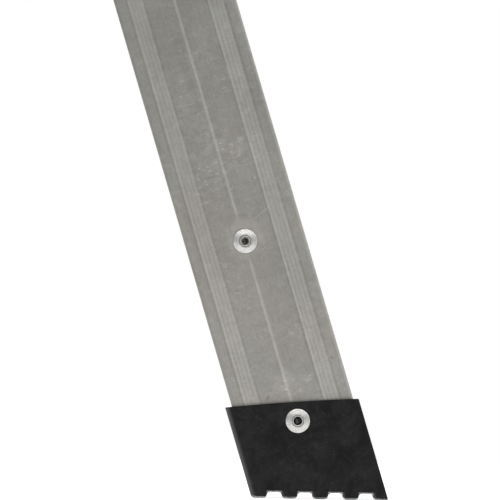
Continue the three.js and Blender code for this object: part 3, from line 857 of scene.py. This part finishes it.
def stay_pin(word, side):
    node = f"stay_pin_{word}"
    seat = seat_of(node, -side, PIN_RISE)
    made = turned_piece(f"{node}_turned", PIN_PROFILE, seat, (-side, 0, 0), "fly_section",
                        "zinc_steel", ZINC)
    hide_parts(node)


def make_rivets():
    for word, side in SIDES.items():
        rung_and_foot_rivets(word, side)
        fixing_rivets(word, side)
        stay_pin(word, side)


# Boots: moulded rubber with a toothed tread.

BOOT_FRONT_TOP = 46.9  # height of the front end of a boot's top edge
TEETH = 5
TOOTH = 8.0  # length of a tooth's tip
FLANK = 0.6  # how far a tooth's flank slopes
TREAD_DEPTH = 3.5
SOLE_ROUND = 1.7
EDGE_ROUND = 0.5
REAR_ROUND = 3.0
FRONT_ROUND = 1.2
TOP_BOW = 0.6  # of the top edge's middle above a straight line
TOP_STEPS = 10
POCKET_GAP = 0.3
ROUND_FROM = 32  # degrees between two faces from which their edge is rounded
NEAR = 0.1  # within this of its place, a point is at that place


def level(a, b):
    """A point of the level frame, in stile coordinates y and z."""
    return (a * math.cos(LEAN) - b * math.sin(LEAN), a * math.sin(LEAN) + b * math.cos(LEAN))


BOOT_SHIFT = level(0.4, 0)  # of the boot towards the wall, which its loose fit lets it make


def boot_outline(half, rear_top):
    length = 2 * half / math.cos(LEAN)
    pitch = (length - TOOTH) / (TEETH - 1)
    outline = []
    for i in range(TEETH):
        start = i * pitch - length / 2
        if i > 0:
            outline.append(level(start - FLANK, TREAD_DEPTH))
        outline.append(level(start, 0))
        outline.append(level(start + TOOTH, 0))
        if i < TEETH - 1:
            outline.append(level(start + TOOTH + FLANK, TREAD_DEPTH))
    for share in np.linspace(0, 1, TOP_STEPS + 1):
        y = half * (1 - 2 * share)
        z = rear_top + share * (BOOT_FRONT_TOP - rear_top) + TOP_BOW * 4 * share * (1 - share)
        outline.append((y, z))
    return outline


def block(low, high):
    """An object that fills a box in stile coordinates."""
    ends = ((low[1], low[2]), (high[1], low[2]), (high[1], high[2]), (low[1], high[2]))
    points, faces = loft([[(x, y, z) for y, z in ends] for x in (low[0], high[0])])
    mesh = bpy.data.meshes.new("pocket")
    mesh.from_pydata([tuple(p) for p in placed(points)], [], faces)
    outwards(mesh)
    return bpy.data.objects.new("pocket", mesh)


def cut_pocket(made, word):
    """Cuts the stile's pocket out of a boot."""
    low, high = extent(f"base_stile_{word}")
    pocket = block(low - POCKET_GAP, high + POCKET_GAP)
    bpy.context.scene.collection.objects.link(pocket)
    cutter = made.modifiers.new("pocket", "BOOLEAN")
    cutter.object = pocket
    cutter.solver = "EXACT"
    bpy.context.view_layer.update()
    graph = bpy.context.evaluated_depsgraph_get()
    mesh = bpy.data.meshes.new_from_object(made.evaluated_get(graph))
    made.modifiers.clear()
    made.data = mesh
    bpy.data.objects.remove(pocket)


def stile_coordinates(point):
    """The stile coordinates of a point of the frame, in millimetres."""
    offset = (Vector(point) - FOOT) / MM
    return Vector((offset.x, offset.dot(ACROSS), offset.dot(UP)))


def rounded(mesh, radius, segments, wanted):
    """Rounds the sharp edges of a mesh whose two ends, in stile coordinates, are wanted."""
    shape = bmesh.new()
    shape.from_mesh(mesh)
    bmesh.ops.remove_doubles(shape, verts=shape.verts, dist=0.02 * MM)
    chosen = []
    for edge in shape.edges:
        if len(edge.link_faces) == 2 and edge.calc_face_angle() > math.radians(ROUND_FROM):
            if wanted(*(stile_coordinates(vertex.co) for vertex in edge.verts)):
                chosen.append(edge)
    bmesh.ops.bevel(shape, geom=chosen, offset=radius * MM, segments=segments, profile=0.5,
                    affect="EDGES")
    shape.to_mesh(mesh)
    shape.free()


def in_tread(point):
    above_floor = point.z * math.cos(LEAN) - point.y * math.sin(LEAN)
    return above_floor < 2 * TREAD_DEPTH


def round_boot(mesh, low, high):
    """Rounds a boot's upright edges, then its tread's edges, then the rest."""
    def at_corner(point, y):
        beside = min(abs(point.x - low[0]), abs(point.x - high[0]))
        return beside < NEAR and abs(point.y - BOOT_SHIFT[0] - y) < NEAR

    def upright_at(y):
        def wanted(one, other):
            return abs(one.z - other.z) > 2 * TREAD_DEPTH and at_corner(one, y) and at_corner(other, y)
        return wanted

    rounded(mesh, REAR_ROUND, 6, upright_at(high[1]))
    rounded(mesh, FRONT_ROUND, 4, upright_at(low[1]))
    rounded(mesh, SOLE_ROUND, 4, lambda one, other: in_tread(one) and in_tread(other))
    rounded(mesh, EDGE_ROUND, 3, lambda one, other: not in_tread(one) and not in_tread(other))


def make_boots():
    for word in SIDES:
        node = f"foot_boot_{word}"
        low, high = extent(node)
        outline = [(y + BOOT_SHIFT[0], z + BOOT_SHIFT[1]) for y, z in boot_outline(high[1], high[2])]
        rings = [[(x, y, z) for y, z in outline] for x in (low[0], high[0])]
        made = piece(f"{node}_moulding", *loft(rings), "base_section", "boot_rubber", RUBBER)
        cut_pocket(made, word)
        round_boot(made.data, low, high)
        smooth(made.data, MOULDING_SHARP)
        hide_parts(node)


# Caps: the moulded ends of the stiles, with rounded edges. Their plugs are hidden in the stiles.

CAPS = {"base_top_cap": "base_section", "fly_top_cap": "fly_section", "fly_bottom_cap": "fly_section"}
CAP_ROUND = 1.2


def side_outline(node):
    """The outline of a node's side with the least x, as a list of y and z in stile coordinates."""
    shape = bmesh.new()
    shape.from_mesh(frame["nodes"][node].data)
    bmesh.ops.remove_doubles(shape, verts=shape.verts, dist=WELD)
    least = min(vertex.co.x for vertex in shape.verts)
    links = {}
    for edge in shape.edges:
        on_side = [all(abs(v.co.x - least) < WELD for v in face.verts) for face in edge.link_faces]
        if on_side.count(True) == 1:
            for one, other in (edge.verts, reversed(edge.verts)):
                links.setdefault(one.index, []).append(other.index)
    shape.verts.ensure_lookup_table()
    walk = [next(iter(links))]
    while len(walk) < len(links):
        walk.append(next(index for index in links[walk[-1]] if index not in walk))
    points = [stile_coordinates(shape.verts[index].co) for index in walk]
    shape.free()
    return [(point.y, point.z) for point in points]


def make_caps():
    for kind, body in CAPS.items():
        for word in SIDES:
            node = f"{kind}_{word}"
            low, high = extent(node)
            rings = [[(x, y, z) for y, z in side_outline(node)] for x in (low[0], high[0])]
            made = piece(f"{node}_moulding", *loft(rings), body, "black_plastic", PLASTIC)
            rounded(made.data, CAP_ROUND, 4, lambda one, other: True)
            smooth(made.data, MOULDING_SHARP)
            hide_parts(node)


# CAD nodes that keep their shape: welded, cleaned and given rounded edges.

# The material of each, and how wide its rounded edges are.
DRESSING = {
    "base_guide": (ZINC, 0.8), "fly_guide": (ZINC, 0.8), "stay_channel": (ZINC, 0.7),
    "rung_stay": (ZINC, 0.7), "travel_stop": (ALUMINIUM, 0.8),
}


def welded(node, material):
    """A CAD node with its material, and with the points that its faces share made one."""
    thing = frame["nodes"][node]
    thing.data.materials.clear()
    thing.data.materials.append(material)
    thing.modifiers.new("weld", "WELD").merge_threshold = WELD
    return thing


def dress(node, material, width):
    thing = welded(node, material)
    flat = thing.modifiers.new("flat", "DECIMATE")
    flat.decimate_type = "DISSOLVE"
    flat.angle_limit = math.radians(1)
    edges = thing.modifiers.new("edges", "BEVEL")
    edges.width = width * MM
    edges.segments = 3
    edges.limit_method = "ANGLE"
    edges.angle_limit = math.radians(30)
    thing.modifiers.new("normals", "WEIGHTED_NORMAL").keep_sharp = True


def dress_nodes():
    for start, (material, width) in DRESSING.items():
        for word in SIDES:
            dress(f"{start}_{word}", material, width)
    for word in SIDES:
        spring = welded(f"stay_spring_{word}", SPRING)
        spring.modifiers.new("round", "SUBSURF").render_levels = 2


# The stage, in metres and in the frame: floor, lights and camera.

FLOOR_RADIUS = 1.35
FLOOR_SIDES = 96
FLOOR_COLOUR = (0.82, 0.82, 0.82, 1)
FLOOR_GLOW = 0.72
BACKDROP = 1.0
AMBIENT = 0.34
# Each light's name, place, target, two sides and power.
LIGHTS = [
    ("key", (-3.0, -0.2, 2.7), (-0.1, -0.2, 0.4), (7.0, 1.3), 90),
    ("fill", (-1.6, -3.0, 1.2), (0, 0, 0.7), (1.5, 2.0), 14),
    ("top", (0.0, 0.0, 4.2), (0, 0, 0), (3.0, 3.0), 38),
    ("right", (3.0, -2.0, 1.8), (0, 0, 0.9), (1.5, 2.5), 24),
    ("back", (1.0, 3.4, 2.0), (0, 0, 0.9), (2.5, 1.5), 20),
]
VIEW_WIDTH = 0.2745  # across the outer face
AIM_OFFSET = Vector((0, -0.0027, -0.0048))  # from the first rung's rivet
DISTANCE = 2.2
YAW = math.radians(0.4)
PITCH = math.radians(2.2)
ROLL = math.radians(1.22)
SENSOR = 36.0  # millimetres


def make_floor():
    mesh = bpy.data.meshes.new("floor")
    turns = np.linspace(0, 2 * np.pi, FLOOR_SIDES, endpoint=False)
    rim = [(FLOOR_RADIUS * math.cos(t), FLOOR_RADIUS * math.sin(t), 0) for t in turns]
    mesh.from_pydata(rim, [], [tuple(range(FLOOR_SIDES))])
    floor = bpy.data.objects.new("floor", mesh)
    bpy.context.scene.collection.objects.link(floor)
    recipe = Recipe("floor", Base_Color=FLOOR_COLOUR, Roughness=0.9, Specular_IOR_Level=0.0,
                    Emission_Color=(1, 1, 1, 1), Emission_Strength=FLOOR_GLOW)
    mesh.materials.append(recipe.material)


def make_world():
    """White behind the object, and dimmer where it only lights."""
    world = bpy.data.worlds.new("studio")
    bpy.context.scene.world = world
    world.use_nodes = True
    tree = world.node_tree
    seen = tree.nodes["Background"]
    around = tree.nodes.new("ShaderNodeBackground")
    for light, strength in ((seen, BACKDROP), (around, AMBIENT)):
        light.inputs["Color"].default_value = (1, 1, 1, 1)
        light.inputs["Strength"].default_value = strength
    path = tree.nodes.new("ShaderNodeLightPath")
    mix = tree.nodes.new("ShaderNodeMixShader")
    tree.links.new(path.outputs["Is Camera Ray"], mix.inputs[0])
    tree.links.new(around.outputs[0], mix.inputs[1])
    tree.links.new(seen.outputs[0], mix.inputs[2])
    tree.links.new(mix.outputs[0], tree.nodes["World Output"].inputs[0])


def make_light(name, place, target, sides, power):
    data = bpy.data.lights.new(name, "AREA")
    data.shape = "RECTANGLE"
    data.size, data.size_y = sides
    data.energy = power
    light = bpy.data.objects.new(name, data)
    light.location = place
    light.rotation_euler = (Vector(target) - Vector(place)).to_track_quat("-Z", "Y").to_euler()
    light.visible_camera = False
    bpy.context.scene.collection.objects.link(light)


def make_camera():
    aim = Vector((-OUTER * MM, FIRST_RIVET.y, FIRST_RIVET.z)) + AIM_OFFSET
    level_back = Vector((-math.cos(YAW), -math.sin(YAW), 0))
    back = math.cos(PITCH) * level_back - math.sin(PITCH) * Vector((0, 0, 1))
    right = Vector((0, 0, 1)).cross(back).normalized()
    up = back.cross(right)
    turned_right = math.cos(ROLL) * right + math.sin(ROLL) * up
    turned_up = math.cos(ROLL) * up - math.sin(ROLL) * right
    data = bpy.data.cameras.new("camera")
    data.sensor_width = SENSOR
    data.lens = SENSOR * DISTANCE / VIEW_WIDTH
    data.clip_start = 0.05
    data.clip_end = 200
    camera = bpy.data.objects.new("camera", data)
    camera.matrix_world = Matrix.LocRotScale(
        aim + DISTANCE * back,
        Matrix((turned_right, turned_up, back)).transposed().to_quaternion(),
        None,
    )
    bpy.context.scene.collection.objects.link(camera)
    bpy.context.scene.camera = camera


make_camera()
make_world()
make_floor()
for light_values in LIGHTS:
    make_light(*light_values)
make_stiles()
make_rungs()
make_rivets()
make_boots()
make_caps()
dress_nodes()
bpy.context.scene.view_settings.view_transform = "Standard"
